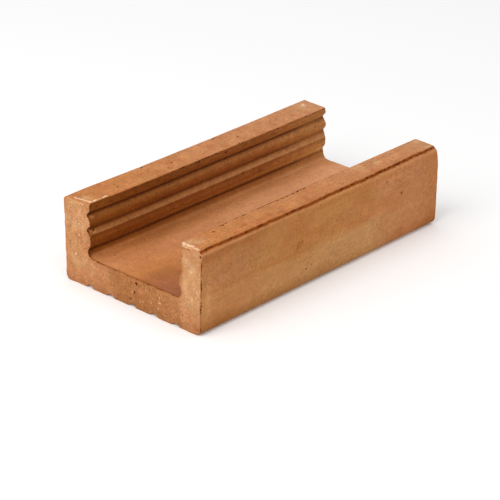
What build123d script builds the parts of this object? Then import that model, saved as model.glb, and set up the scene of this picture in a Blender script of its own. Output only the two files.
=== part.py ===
from build123d import *
import os

# Clay lintel channel: a U section extruded along X, cut square at both ends and fired.
# The origin is under the middle of the floor, X runs along the channel, Y across, Z up.
# All sizes are in millimetres.

# Overall size
LENGTH = 250.0
WIDTH = 130.0
HEIGHT = 62.5

# Walls and floor of the U
WALL = 22.5
FLOOR = 22.5

# Corners of the section, as the die leaves them
TOP_OUTER_RADIUS = 4.0
TOP_INNER_RADIUS = 1.0
BOTTOM_OUTER_RADIUS = 5.5
FLOOR_CORNER_RADIUS = 5.0

# Arris that the cutting wire leaves round both ends
END_ARRIS = 0.5

# Keying notches in the inner faces of the walls. Each starts under a steep shoulder,
# has a short flat bed and runs out on a gentle flank to the next rib.
TOP_LAND = 4.5
NOTCH_DEPTH = 2.5
NOTCH_SHOULDER = 2.8
NOTCH_BED = 1.2
NOTCH_FLANK = 4.0
RIB_LAND = 3.0
RIB_SOFTENING = 1.4
NOTCH_SOFTENING = 0.8

# The lowest notch has a taller shoulder and ends in the floor corner
FOOT_NOTCH_SHOULDER = 4.0
FOOT_NOTCH_BED = 1.0

# Rounded grooves along the underside, one of them on the centre line
GROOVE_PITCH = 20.6
GROOVE_MOUTH = 7.2
GROOVE_DEPTH = 2.2
GROOVE_LIP_RADIUS = 0.9
GROOVE_EDGE_LAND = 2.0

# The arris stays this much smaller than the tightest corner that it runs round
ARRIS_SHARE = 0.6

# How near two places are to count as the same one
TOUCH = 0.001

# Levels and half widths that follow from the sizes above
channel_half = WIDTH / 2 - WALL
channel_depth = HEIGHT - FLOOR
notch_height = NOTCH_SHOULDER + NOTCH_BED + NOTCH_FLANK
foot_notch_height = FOOT_NOTCH_SHOULDER + FOOT_NOTCH_BED + FLOOR_CORNER_RADIUS


def notch_tops():
    """Distances below the wall top at which the notches start, as many as fit above the floor."""
    room = channel_depth - foot_notch_height - TOP_LAND
    count = max(0, int(room // (notch_height + RIB_LAND)))
    return [TOP_LAND + index * (notch_height + RIB_LAND) for index in range(count)]


def wall_face():
    """Corners (y, z, radius) of one inner wall face, from the wall top down to the floor."""
    bed_y = channel_half + NOTCH_DEPTH
    corners = [(channel_half, HEIGHT, TOP_INNER_RADIUS)]
    for top in notch_tops():
        shoulder_z = HEIGHT - top
        bed_z = shoulder_z - NOTCH_SHOULDER
        corners += [
            (channel_half, shoulder_z, RIB_SOFTENING),
            (bed_y, bed_z, NOTCH_SOFTENING),
            (bed_y, bed_z - NOTCH_BED, NOTCH_SOFTENING),
            (channel_half, shoulder_z - notch_height, RIB_SOFTENING),
        ]
    foot_z = FLOOR + foot_notch_height
    corners += [
        (channel_half, foot_z, RIB_SOFTENING),
        (bed_y, foot_z - FOOT_NOTCH_SHOULDER, NOTCH_SOFTENING),
        (bed_y, FLOOR, FLOOR_CORNER_RADIUS),
    ]
    return corners


def section_corners():
    """Corners (y, z, radius) of the whole U, once round."""
    half = WIDTH / 2
    right = [(half, 0, BOTTOM_OUTER_RADIUS), (half, HEIGHT, TOP_OUTER_RADIUS)] + wall_face()
    left = [(-y, z, radius) for y, z, radius in reversed(right)]
    return right + left


def groove_offsets():
    """Y of each groove's middle: pairs either side of the centre line, as many as fit."""
    outermost = WIDTH / 2 - BOTTOM_OUTER_RADIUS - GROOVE_EDGE_LAND - GROOVE_MOUTH / 2
    pairs = int(outermost // GROOVE_PITCH)
    return [index * GROOVE_PITCH for index in range(-pairs, pairs + 1)]


def section():
    """The U section with its grooves, as a face at the end where the extrusion starts."""
    corners = section_corners()
    groove_radius = (GROOVE_MOUTH**2 / 4 + GROOVE_DEPTH**2) / (2 * GROOVE_DEPTH)
    groove_centre_z = GROOVE_DEPTH - groove_radius
    with BuildSketch(Plane.YZ.offset(-LENGTH / 2)) as outline:
        with BuildLine():
            FilletPolyline(
                *[(y, z) for y, z, radius in corners],
                radius=[radius for y, z, radius in corners],
                close=True,
            )
        make_face()
        underside = outline.edges().sort_by(Axis.Y)[0]
        corner_ends = underside.vertices()
        with Locations(*[(y, groove_centre_z) for y in groove_offsets()]):
            Circle(groove_radius, mode=Mode.SUBTRACT)
        on_underside = outline.vertices().filter_by_position(Axis.Y, -TOUCH, TOUCH)
        lips = [vertex for vertex in on_underside if vertex not in corner_ends]
        fillet(lips, GROOVE_LIP_RADIUS)
    return outline.sketch


def lintel_channel():
    """The section carried along the whole length, with an arris round each end."""
    outside_corners = [TOP_INNER_RADIUS, TOP_OUTER_RADIUS, BOTTOM_OUTER_RADIUS]
    tightest = min(outside_corners + [GROOVE_LIP_RADIUS, RIB_SOFTENING])
    with BuildPart() as channel:
        extrude(section(), amount=LENGTH, dir=Axis.X.direction)
        ends = channel.faces().filter_by(Axis.X)
        fillet(ends.edges(), min(END_ARRIS, ARRIS_SHARE * tightest))
    return channel.part


os.makedirs("parts", exist_ok=True)
export_step(lintel_channel(), "parts/lintel_channel.step")
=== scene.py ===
import math

import bpy
import numpy as np
from bpy.props import FloatProperty, FloatVectorProperty, IntProperty, PointerProperty
from mathutils import Matrix, Vector


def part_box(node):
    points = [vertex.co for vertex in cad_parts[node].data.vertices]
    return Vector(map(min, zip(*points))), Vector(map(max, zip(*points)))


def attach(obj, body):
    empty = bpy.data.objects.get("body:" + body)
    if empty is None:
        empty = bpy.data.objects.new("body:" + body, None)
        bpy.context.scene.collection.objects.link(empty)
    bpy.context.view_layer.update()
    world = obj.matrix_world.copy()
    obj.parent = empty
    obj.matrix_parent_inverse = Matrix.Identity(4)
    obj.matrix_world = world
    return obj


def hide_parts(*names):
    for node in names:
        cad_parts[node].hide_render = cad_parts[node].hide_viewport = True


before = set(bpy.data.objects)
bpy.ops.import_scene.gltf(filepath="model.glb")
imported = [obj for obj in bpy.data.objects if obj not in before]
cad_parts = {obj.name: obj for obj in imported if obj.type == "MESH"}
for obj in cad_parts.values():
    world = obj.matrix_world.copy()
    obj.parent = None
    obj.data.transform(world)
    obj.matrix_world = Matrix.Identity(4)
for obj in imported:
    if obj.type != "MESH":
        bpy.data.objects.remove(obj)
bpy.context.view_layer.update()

bl_info = {
    "name": "Clay lintel channel",
    "version": (1, 0, 0),
    "blender": (4, 5, 0),
    "location": "3D View > Sidebar > Clay",
    "description": "Makes one extruded and fired clay lintel channel, and the floor and light to see it by",
    "category": "Add Mesh",
}

MM = 0.001
NODE = "lintel_channel"
low_corner, high_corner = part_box(NODE)
LENGTH, WIDTH, HEIGHT = (high_corner - low_corner)[:]

# Spacing at which the section's outline is worked out, before it is divided into mesh rows
OUTLINE_STEP = 0.05 * MM

# Mesh rows and columns: across half the web, up a wall, across a wall top and along the channel
WEB_ROWS = 41
WALL_ROWS = 58
WALL_COLUMNS = 22
STATIONS = 192
ARRIS_STEPS = 3

# Spacing of rows on flat stretches and in the torn edge, how many a corner gets for each radian that
# it turns, and how far to both sides of it they spread
FLAT_SPACING = 1.3 * MM
TORN_SPACING = 0.45 * MM
POINTS_PER_RADIAN = 3.0
CORNER_MARGIN = 1.0 * MM

# How far the finer rows reach round the tear and, with a share of them, round the top inner edge,
# and which share of the rows the hidden underside does without, past a reach from its corner
TEAR_REACH = 1.6 * MM
INNER_REACH = 1.4 * MM
INNER_SHARE = 0.6
UNDERSIDE_SAVING = 0.4
UNDERSIDE_REACH = 5.0 * MM

# Spacing along the channel in the middle and at the ends, and how far in the finer spacing reaches
STATION_SPACING = 1.3 * MM
END_SPACING = 0.45 * MM
END_REACH = 3.0 * MM

# The tear lies this far from the middle of the top outer corner, towards the wall top
TEAR_SET_IN = 0.35 * MM

# Painted shade lies this far past the lower corner of a notch, this much further in each next one, and this
# far above the middle of the floor corner. The lighter band on the first notch's flank, which is painted
# light where the flank faces up, lies below that corner by this share of the flank.
LINE_SET_IN = 0.1 * MM
LINE_LOWER = 0.4 * MM
FOOT_LINE_ABOVE = 2.9 * MM
FLANK_SHARE = 0.6

# Share of the height at which the +Y wall's outside is turned, and the sine of 45 degrees
TURN_LINE = 0.45
SLOPE = math.sqrt(0.5)

# Cells along each side of the block of random heights that the uneven surfaces repeat
LATTICE = 24

# Marks that the photo shows one by one, in millimetres on the plain skin: place and width of the
# round ones, both ends and width of the long ones
PITS = (
    (-5, -65, 57.5, 0.8), (68, -65, 52, 0.9), (82, -65, 49, 0.8), (85, -65, 38.5, 1.2), (60, -65, 18, 0.9),
    (-108, -65, 21, 0.7), (-18, -65, 22, 0.6), (-16, -65, 18, 0.6), (-19, -65, 14, 0.7), (-50, -65, 20, 0.6),
    (-95, -47.5, 62.5, 1.2), (-83, -45.0, 62.5, 1.3), (-64, -46.0, 62.5, 1.1), (-66, -56.5, 62.5, 0.9),
    (-53, 62.4, 62.5, 1.3), (21, 62.4, 62.5, 1.3), (-38.5, 46.5, 62.5, 1.4), (-66, 46.5, 62.5, 1.0),
    (-40, 49, 62.5, 1.0), (37, 52, 62.5, 1.0), (53, 50, 62.5, 0.9), (-88, 51, 62.5, 1.0),
    (-31, 54, 62.5, 0.9), (82, 41, 22.5, 1.0), (45, 30, 22.5, 1.0), (-108, 33, 22.5, 0.8),
    (-25, 26, 22.5, 0.7), (12, 31, 22.5, 0.6), (113, 43, 40.5, 1.0), (33, 42.5, 37.5, 0.9),
    (14, 42.5, 59.5, 1.1), (-15, 42.5, 61, 1.2), (28, 43.5, 62.0, 1.3), (31, 43.2, 61.8, 1.3),
    (-125, -4.3, 19.3, 1.6), (-125, -2.0, 12, 1.1), (-125, -9, 11, 1.1), (-125, 1.6, 6.0, 1.1),
    (-125, -20, 20, 0.9), (-125, 30, 19.5, 0.8), (-125, -47, 10.5, 1.0), (-125, -61, 34, 0.9),
    (-124.8, -65, 55, 1.1), (-124.8, -65, 50.5, 1.0), (-117.2, 44.8, 41.0, 1.1), (-124.6, -43.2, 60.6, 1.0),
    (-125, -63.4, 58.8, 1.2), (-124.6, 5, 22.3, 0.9),
)
CHIPS = (
    ((-121.8, -44.5, 62.0), (-122.2, -53, 62.0), 2.0), ((-122.2, -53, 62.0), (-123.2, -60.5, 61.8), 1.4),
    ((-119.8, 46.5, 62.5), (-121.0, 53, 62.5), 1.4), ((-121.0, 53, 62.5), (-121.8, 59, 62.5), 0.9),
    ((-121.0, 45.4, 62.5), (-114, 45.2, 62.5), 1.1), ((-114, 45.2, 62.5), (-104, 45.0, 62.5), 0.8),
    ((115.0, 57.5, 62.5), (117, 58.5, 62.5), 1.4),
)
# Painted shadow under the chipped top edge of the -X end, and a dark line down its -Y arris
UNDERCUT_SHADOWS = (
    ((-125, -46, 60.3), (-125, -53, 60.7), 0.7), ((-125, -53, 60.7), (-125, -60, 61.4), 0.7),
    ((-125, -64.6, 54), (-125, -64.4, 4), 0.6),
)
SPECKS = (
    (-125, 50.8, 37.3, 0.9), (-125, 55.0, 21.8, 0.9), (-125, 55.0, 16.0, 0.7), (-125, 58.8, 4.4, 0.9),
    (-125, 30.3, 2.8, 0.9), (-125, -9.0, 3.6, 1.0), (-125, -25.5, 7.5, 0.9), (-125, -26.5, 11.8, 0.8),
    (-125, -55.8, 45.0, 1.0), (-125, -7.0, 10.6, 0.8), (-125, 51.0, 46.3, 1.0),
)
SCUFFS = (
    (-113, -50.5, 62.5, 4.5), (120, -60, 62.5, 4.0), (121, -47, 62.5, 4.0), (54, -48, 62.5, 3.5),
    (58, -45, 62.5, 2.5), (72, -51, 62.5, 3.0), (-118, -47.5, 62.5, 3.0), (-116, 52, 62.5, 3.5),
    (114, 55, 62.5, 7.0),
)
FLAPS = (
    ((-123.8, 44.3, 52.6), (-118.5, 43.8, 51.4), 0.8), ((-122.5, 44.3, 42.2), (-116.5, 43.5, 39.9), 0.9),
)
STAINS = (
    ((-28.2, -65, 36), (-28.8, -65, 31.5), 1.5), ((-29, -65, 35.5), (-23, -65, 36.5), 1.4),
)
STREAKS = (
    ((-78, -56, 62.5), (-72, -56, 62.5), 0.9), ((-62, -56.6, 62.5), (-48, -56.6, 62.5), 0.9),
    ((-43, -59, 62.5), (-38, -59, 62.5), 1.1),
)
PALE_PATCHES = (
    (-125, -57, 33, 6.0), (-125, 51.5, 47, 6.0), (-125, 24, 16, 5.0), (-125, 62.5, 55.5, 2.5),
    (-125, 18, 6.5, 4.5),
)
DULL_PATCHES = (
    (-125, -48.5, 45, 4.5), (-125, 53, 27, 4.5), (-125, 51, 37.5, 4.0), (-125, 61, 51, 4.0),
    (-125, -63, 51, 4.0), (-125, -62, 4, 4.0),
)
WARM_PATCHES = (
    (42, -65, 52, 10.0), (121, -65, 8, 5.0), (85, -65, 8, 4.0), (103, -65, 9, 4.0), (-28, -65, 48, 14.0),
)

# Studio sizes in metres, and the width of the camera's sensor in millimetres
FLOOR_SIZE = 6.0
LAMP_SIZE = 1.2
LAMP_DISTANCE = 1.5
NEAREST_SEEN = 0.1
SENSOR = 36.0


def linear(code):
    """An sRGB colour such as #c08050 as linear red, green, blue and a full alpha."""
    parts = [int(code[i:i + 2], 16) / 255 for i in (1, 3, 5)]
    return tuple(c / 12.92 if c <= 0.04045 else ((c + 0.055) / 1.055) ** 2.4 for c in parts) + (1.0,)


def size_prop(name, millimetres, description):
    """A length that a user may change, given in millimetres and held in metres."""
    return FloatProperty(
        name=name, description=description, default=millimetres * MM, unit="LENGTH", precision=5
    )


def angle_prop(name, degrees, description):
    """An angle that a user may change, given in degrees and held in radians."""
    return FloatProperty(name=name, description=description, default=math.radians(degrees), subtype="ANGLE")


def colour_prop(name, code, description):
    """A colour that a user may change, given as an sRGB hex value."""
    return FloatVectorProperty(
        name=name, description=description, default=linear(code), subtype="COLOR", size=4, min=0, max=1
    )


class ClaySectionSizes(bpy.types.PropertyGroup):
    """The U section as the die shapes it."""

    wall: size_prop("Wall", 22.5, "Thickness of both walls over the ribs")
    floor: size_prop("Floor", 22.5, "Thickness from the underside to the channel floor")
    top_outer_radius: size_prop("Top outer radius", 4.0, "Round between a wall top and the outer face")
    top_inner_radius: size_prop("Top inner radius", 1.0, "Round between a wall top and the inner face")
    bottom_radius: size_prop("Bottom radius", 5.5, "Round between the outer face and the underside")
    floor_radius: size_prop("Floor radius", 5.0, "Round between the channel floor and the walls")
    end_arris: size_prop("End arris", 0.45, "Worn edge round both cut ends")
    top_land: size_prop("Top land", 4.5, "Plain inner face above the first notch")
    notch_depth: size_prop("Notch depth", 2.5, "How far the notches go into the wall")
    notch_shoulder: size_prop("Notch shoulder", 2.8, "Height of the steep side of a notch")
    notch_bed: size_prop("Notch bed", 1.2, "Height of the flat part of a notch")
    notch_flank: size_prop("Notch flank", 4.0, "Height of the gentle side of a notch")
    rib_land: size_prop("Rib land", 3.0, "Height of the flat crest between two notches")
    rib_softening: size_prop("Rib softening", 1.4, "Round on the corners of a rib")
    sharp_edge: size_prop("Sharp edge", 0.5, "Round under the last upper notch, crisper than the others")
    longer_flank: size_prop("Longer flank", 0.8, "How much lower that crisp edge lies")
    notch_softening: size_prop("Notch softening", 0.8, "Round in the corners of a notch")
    foot_shoulder: size_prop("Foot notch shoulder", 4.0, "Height of the lowest notch's shoulder")
    foot_bed: size_prop("Foot notch bed", 1.0, "Flat part of the lowest notch over the floor corner")
    groove_pitch: size_prop("Groove pitch", 20.6, "Distance between grooves in the underside")
    groove_mouth: size_prop("Groove mouth", 7.2, "Width of a groove at the underside")
    groove_lip_radius: size_prop("Groove lip radius", 0.9, "Round on both edges of a groove")
    groove_slope: angle_prop("Groove slope", 56.5, "How steeply a groove starts at its lips")
    notch_pairs: IntProperty(
        name="Upper notches", description="Notches over the lowest one", default=2, min=2
    )
    groove_pairs: IntProperty(
        name="Groove pairs", description="Grooves on each side of the middle one", default=2, min=0
    )


class ClayWear(bpy.types.PropertyGroup):
    """What the die, the cutting wire, the kiln and handling leave on the clay."""

    bow: size_prop("Bow", 0.8, "How far the +Y wall leans in at mid-length")
    near_bow: size_prop("Near bow", 0.5, "How far the -Y wall leans in at mid-length")
    lean: size_prop("Lean", 1.1, "How far the top of the +Y wall's outside leans out at the -X end")
    overrun: size_prop("Overrun", 1.5, "How much longer both walls are below their tops at the +X end")
    worn_corner: size_prop("Worn corner", 1.1, "How much rounder the -Y wall's top edge gets at the +X end")
    step_depth: size_prop("Torn step depth", 0.75, "Depth of the tear along the -Y wall's top outer edge")
    step_width: size_prop("Torn step width", 2.2, "Width of the tear along the -Y wall's top outer edge")
    nick_depth: size_prop("Nick depth", 0.75, "Depth of the crumbled places along ribs and inner edges")
    chip_depth: size_prop("Chip depth", 1.6, "How deep the knocked corners go")
    cut_relief: size_prop("Wire cut relief", 0.16, "Height of the grain that the wire lays bare")
    skin_relief: size_prop("Skin relief", 0.10, "Height of the unevenness in the smooth die skin")
    core: size_prop("Core offset", 0.7, "How far the die's core is off towards -Y on the near side")
    flare: size_prop("Flare", 1.1, "How far the inside of the +Y wall opens towards the -X end")
    smear: size_prop("Smear", 2.4, "How far the cutting wire dragged the clay towards -Y at the -X end")
    bed_sag: size_prop("Bed sag", 1.6, "How much lower the channel floor lies at the +X end")
    wander: size_prop("Wander", 0.20, "How far the tear and the seam stray over a long stretch")
    short_wander: size_prop("Short wander", 0.30, "How far the tear and the seam stray over a short stretch")
    rolled_ridge: size_prop("Rolled ridge", 0.14, "Height of the ridge that runs below the tear")
    seam_depth: size_prop("Seam depth", 0.35, "Depth of the broken seam beside the -Y wall's inner edge")
    fuller_top: size_prop("Fuller top edge", 1.1, "How much the +Y wall's top outer edge stands out")
    fuller_foot: size_prop("Fuller foot", 0.6, "How much the +Y wall's bottom edge stands out")
    flatter_foot: size_prop("Flatter foot", 0.3, "How much the -Y wall's bottom edge falls short")
    end_break: size_prop("End break", 0.5, "Depth of the broken edge round the -X end")
    pit_depth: size_prop("Pit depth", 0.7, "Depth of the pits, and height of the folded lips")
    seed: IntProperty(name="Seed", description="Start of the random draws", default=11, min=0)


class ClayColours(bpy.types.PropertyGroup):
    """Colours of the fired clay, where each of them shows."""

    side: colour_prop("Side skin", "#bf844a", "Outer faces, flashed golden brown in the kiln")
    side_low: colour_prop("Low side skin", "#c9945f", "Sandier band along the foot of the outer faces")
    side_warm: colour_prop("Warm side skin", "#b97540", "Redder patches of the outer faces")
    top: colour_prop("Wall tops, front", "#ca8751", "Wall tops at the -X end")
    top_back: colour_prop("Wall tops, back", "#ce9062", "Wall tops at the +X end")
    side_rosy: colour_prop("Rosy side skin", "#c28152", "Pinkish patches of the outer faces, most at +X")
    # Paler strip of the -Y face beside the -X end
    side_rim: colour_prop("Side rim", "#d9a468", "Rubbed strip of the -Y face beside the -X end")
    # Painted highlight on the rounded ridge outside the torn step, which faces up towards the light
    ridge_highlight: colour_prop("Ridge", "#cf915d", "Rounded ridge outside the torn step")
    top_rosy: colour_prop("Rosy wall tops", "#c4744a", "Redder patches of the wall tops")
    smear: colour_prop("Smeared clay", "#daae80", "Palest places of the cut wall ends")
    # Painted shade in the recess of the torn step, and the dark crack line along the floor's -X edge
    recess_shade_and_crack: colour_prop("Recess", "#904913", "Floor of the torn step, and the broken edges")
    rib: colour_prop("Ribs, front", "#97571f", "Ribs of the inner faces at the -X end")
    rib_back: colour_prop("Ribs, back", "#ae6f39", "Ribs of the inner faces at the +X end")
    # Flanks are lighter than the ribs: painted light where the notch sides face up
    flank: colour_prop("Flanks, front", "#ae7442", "Upward sides of the notches at the -X end")
    flank_back: colour_prop("Flanks, back", "#c28a59", "Upward sides of the notches at the +X end")
    # Pale clay of the lips, made lighter still as painted light, since they lie in the notches' shade
    flap: colour_prop("Lips", "#f0a660", "Small lips of clay folded over at the -X ends of the notches")
    bed: colour_prop("Channel floor, front", "#ca844c", "Floor of the channel at the -X end")
    bed_back: colour_prop("Channel floor, back", "#e0a072", "Floor of the channel at the +X end")
    # Painted shade, redder, in the floor's corner beside the -Y wall
    bed_red_shade: colour_prop("Channel floor, red", "#a8694a", "Red corner of the floor beside the -Y wall")
    wall_cut: colour_prop("Cut wall", "#c89465", "Pale smears that the wire leaves on the wall ends")
    web_cut: colour_prop("Cut floor, pale", "#bd8054", "Wire-cut end of the floor beside the +Y wall")
    web_red: colour_prop("Cut floor, red", "#af7647", "Wire-cut end of the floor elsewhere")
    stain: colour_prop("Stain", "#955a27", "Small brown stains on the -Y face")
    # Painted shade in the innermost corners of the notches, and under the sharp edge
    gap: colour_prop("Notch corner", "#4e1a02", "Innermost corners of the notches, where soot gathers")
    # Dark torn clay and pits, and painted shadow under torn, crumbled and undercut edges
    torn_and_shade: colour_prop("Torn clay", "#562306", "Tears, pits and undercut edges")
    chipped: colour_prop("Chipped clay", "#f0c8a2", "Fresh, powdery clay in the knocked corners")


class StudioSettings(bpy.types.PropertyGroup):
    """Camera, light and floor."""

    heading: angle_prop("Heading", 48.1724, "Turn of the view from +Y towards +X")
    elevation: angle_prop("Elevation", 25.5609, "How far the camera looks down")
    roll: angle_prop("Roll", 1.0794, "Turn of the camera about its own axis")
    aim: FloatVectorProperty(
        name="Aim", description="Point in the middle of the picture",
        default=(-11.317 * MM, -5.479 * MM, 5.979 * MM), subtype="XYZ", unit="LENGTH", precision=5,
    )
    distance: size_prop("Distance", 1671.02, "From the camera to the aim")
    lens: FloatProperty(name="Lens", description="Focal length in millimetres", default=168.69, min=10)
    sky: FloatProperty(name="Sky", description="Strength of the light from all sides", default=0.71, min=0)
    key: FloatProperty(name="Lamp", description="Power of the large soft lamp in watts", default=10.4, min=0)
    key_heading: angle_prop("Lamp heading", 85.0, "Turn of the lamp's light from +Y towards +X")
    key_elevation: angle_prop("Lamp elevation", 48.0, "How far the lamp's light comes down")
    floor_colour: colour_prop("Floor", "#fefefe", "Pale floor")
    floor_glow: FloatProperty(
        name="Floor glow", description="White added to the floor where it is seen", default=0.08, min=0
    )


def straight(start, end, step):
    """Evenly spaced points from start, which is left out, to end."""
    count = max(2, int(np.linalg.norm(end - start) / step))
    return start + (end - start) * np.linspace(0, 1, count + 1)[1:, None]


def path_lengths(points):
    """Length along a path up to each of its points."""
    return np.concatenate([[0], np.cumsum(np.linalg.norm(np.diff(points, axis=0), axis=1))])


def along(values, lengths, at):
    """Values given at the lengths of a path, one column each, read off at other lengths."""
    return np.stack([np.interp(at, lengths, column) for column in values.T], axis=1)


def rounded_path(corners):
    """Points along a chain of corners (y, z, radius): straight runs joined by arcs.

    Where the path turns by an angle t, the arc of radius r starts and ends r tan(t / 2) from the
    corner. Also gives the length along the path to the middle of each arc.
    """
    step = OUTLINE_STEP
    points = [np.array([corners[0][:2]])]
    places = []
    for before, corner, after in zip(corners, corners[1:], corners[2:]):
        here = np.array(corner[:2])
        radius = corner[2]
        arrive = here - before[:2]
        leave = np.array(after[:2]) - here
        arrive = arrive / np.linalg.norm(arrive)
        leave = leave / np.linalg.norm(leave)
        turn = math.atan2(arrive[0] * leave[1] - arrive[1] * leave[0], arrive @ leave)
        start = here - arrive * radius * math.tan(abs(turn) / 2)
        side = np.array([-arrive[1], arrive[0]]) * math.copysign(1, turn)
        angles = np.linspace(0, abs(turn), max(3, int(radius * abs(turn) / step)))[1:, None]
        arc = start + radius * (side * (1 - np.cos(angles)) + arrive * np.sin(angles))
        points.append(straight(points[-1][-1], start, step))
        points.append(arc)
        places.append(path_lengths(np.concatenate(points))[-1] - radius * abs(turn) / 2)
    points.append(straight(points[-1][-1], np.array(corners[-1][:2]), step))
    points = np.concatenate(points)
    lengths = path_lengths(points)
    even = np.linspace(0, lengths[-1], int(lengths[-1] / step) + 1)
    return along(points, lengths, even), even, places


def respaced(lengths, fineness, start, end, count):
    """Lengths of count places between two lengths of a path, closer where fineness is high.

    The fineness is summed up along the path, and the places divide that sum evenly.
    """
    total = np.concatenate([[0], np.cumsum(fineness[1:] * np.diff(lengths))])
    wanted = np.linspace(np.interp(start, lengths, total), np.interp(end, lengths, total), count)
    return np.interp(wanted, total, lengths)


def smooth_step(low, high, value):
    """0 below low, 1 above high, and an S-shaped ramp between them."""
    t = np.clip((value - low) / (high - low), 0, 1)
    return t * t * (3 - 2 * t)


def bell(distance, width):
    """1 at no distance, falling off as a bell curve of the given width."""
    return np.exp(-(distance / width) ** 2)


def ramp(value, low, high):
    """The smooth step between two places in millimetres. It falls where the first is the larger one."""
    return smooth_step(low * MM, high * MM, value)


def hump(value, middle, width):
    """The bell round a place, with the place and the width in millimetres."""
    return bell(value - middle * MM, width * MM)


def wave(x, grain, seed):
    """Random heights from -1 to 1 at every grain (in millimetres) of length along x, joined by ramps."""
    heights = np.random.default_rng(seed).uniform(-1, 1, LATTICE**2)
    place = x / (grain * MM) + LATTICE
    index = np.floor(place).astype(int)
    t = smooth_step(0, 1, place - index)
    return heights[index % LATTICE**2] * (1 - t) + heights[(index + 1) % LATTICE**2] * t


def mottle(points, grain, seed):
    """Random heights from -1 to 1 on a cubic lattice, blended inside each cube; the grain is in mm."""
    heights = np.random.default_rng(seed).uniform(-1, 1, (LATTICE, LATTICE, LATTICE))
    place = points / (grain * MM) + LATTICE
    index = np.floor(place).astype(int)
    t = smooth_step(0, 1, place - index)
    total = np.zeros(len(points))
    for corner in np.ndindex(2, 2, 2):
        i, j, k = ((index + corner) % LATTICE).T
        total += heights[i, j, k] * np.prod(np.where(corner, t, 1 - t), axis=1)
    return total


def layered(points, grain, seed, layers=3):
    """Mottle of several grains, each half as large and half as strong as the one before."""
    return sum(mottle(points, grain / 2**k, seed + k) / 2**k for k in range(layers))


def section_corners(sizes):
    """Corners (y, z, radius) of half the section: underside, outer face, wall top, inner face, floor.

    A groove is an arc between two lips. Its sides start at the groove slope and meet in an apex,
    which is rounded until its arc just reaches the rounds of the lips.
    """
    half = WIDTH / 2
    crest = half - sizes.wall
    bed = crest + sizes.notch_depth
    mouth = sizes.groove_mouth / 2
    lip = sizes.groove_lip_radius
    slope = sizes.groove_slope
    arc = (mouth / math.cos(slope) - lip * math.tan(slope / 2)) / math.tan(slope)
    apex = mouth * math.tan(slope)
    crown = apex - arc * (1 / math.cos(slope) - 1)
    corners = [(0.0, crown, 0.0), (arc * math.tan(slope / 2), crown, arc), (mouth, 0.0, lip)]
    for pair in range(1, sizes.groove_pairs + 1):
        middle = pair * sizes.groove_pitch
        corners += [(middle - mouth, 0.0, lip), (middle, apex, arc), (middle + mouth, 0.0, lip)]
    corners.append((half, 0.0, sizes.bottom_radius))
    corners.append((half, HEIGHT, sizes.top_outer_radius))
    corners.append((crest, HEIGHT, sizes.top_inner_radius))
    height = sizes.notch_shoulder + sizes.notch_bed + sizes.notch_flank
    for notch in range(sizes.notch_pairs):
        top = HEIGHT - sizes.top_land - notch * (height + sizes.rib_land)
        last = notch == sizes.notch_pairs - 1
        foot_round = sizes.sharp_edge if last else sizes.rib_softening
        corners += [
            (crest, top, sizes.rib_softening),
            (bed, top - sizes.notch_shoulder, sizes.notch_softening),
            (bed, top - sizes.notch_shoulder - sizes.notch_bed, sizes.notch_softening),
            (crest, top - height - last * sizes.longer_flank, foot_round),
        ]
    foot = sizes.floor + sizes.floor_radius + sizes.foot_bed + sizes.foot_shoulder
    corners += [
        (crest, foot, sizes.rib_softening),
        (bed, foot - sizes.foot_shoulder, sizes.notch_softening),
        (bed, sizes.floor, sizes.floor_radius),
        (0.0, sizes.floor, 0.0),
    ]
    return corners


class Section:
    """Half the section's outline, with the lengths along it at which its corners lie.

    The lines are the innermost corners of the notches, where shade is painted. The sharp edge is the
    crisp one under the last upper notch.
    """

    def __init__(self, sizes):
        corners = section_corners(sizes)
        self.points, self.lengths, places = rounded_path(corners)
        self.corners = list(zip(corners[1:-1], places))
        at = {corner[:2]: place for corner, place in self.corners}
        half = WIDTH / 2
        self.bottom_corner = at[(half, 0.0)]
        self.top_outer = at[(half, HEIGHT)]
        self.top_inner = at[(half - sizes.wall, HEIGHT)]
        self.floor_corner = places[-1]
        self.end = self.lengths[-1]
        self.tear = self.top_outer + TEAR_SET_IN
        self.shoulders = self.rounded_by(sizes.rib_softening)
        self.sharp = self.rounded_by(sizes.sharp_edge)[0]
        beds = self.rounded_by(sizes.notch_softening)[1::2]
        self.lines = [bed + LINE_SET_IN + LINE_LOWER * count for count, bed in enumerate(beds)]
        self.lines.append(self.floor_corner - FOOT_LINE_ABOVE)
        self.flank = beds[0] + FLANK_SHARE * sizes.notch_flank
        tangent = np.gradient(self.points, axis=0)
        tangent /= np.linalg.norm(tangent, axis=1)[:, None]
        self.normals = np.stack([tangent[:, 1], -tangent[:, 0]], axis=1)
        bend = np.abs(np.gradient(np.unwrap(np.arctan2(tangent[:, 1], tangent[:, 0])))) / OUTLINE_STEP
        window = np.ones(int(2 * CORNER_MARGIN / OUTLINE_STEP))
        bend = np.convolve(bend, window / len(window), mode="same")
        torn_and_shade = bell(self.lengths - self.tear, TEAR_REACH)
        torn_and_shade += INNER_SHARE * bell(self.lengths - self.top_inner, INNER_REACH)
        hidden = smooth_step(self.bottom_corner, self.bottom_corner - UNDERSIDE_REACH, self.lengths)
        flat = (1 - UNDERSIDE_SAVING * hidden) / FLAT_SPACING
        self.fineness = flat + POINTS_PER_RADIAN * bend + torn_and_shade / TORN_SPACING

    def rounded_by(self, radius):
        """Lengths along the outline to the corners that are rounded by this radius."""
        return [place for corner, place in self.corners if corner[2] == radius]

    def places(self, start, end, count):
        """Lengths of count places between two lengths of the outline."""
        return respaced(self.lengths, self.fineness, start, end, count)

    def spots(self, at, inset=0.0):
        """Points of the outline at these lengths, moved inwards by the inset."""
        return along(self.points - self.normals * inset, self.lengths, at)


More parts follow.
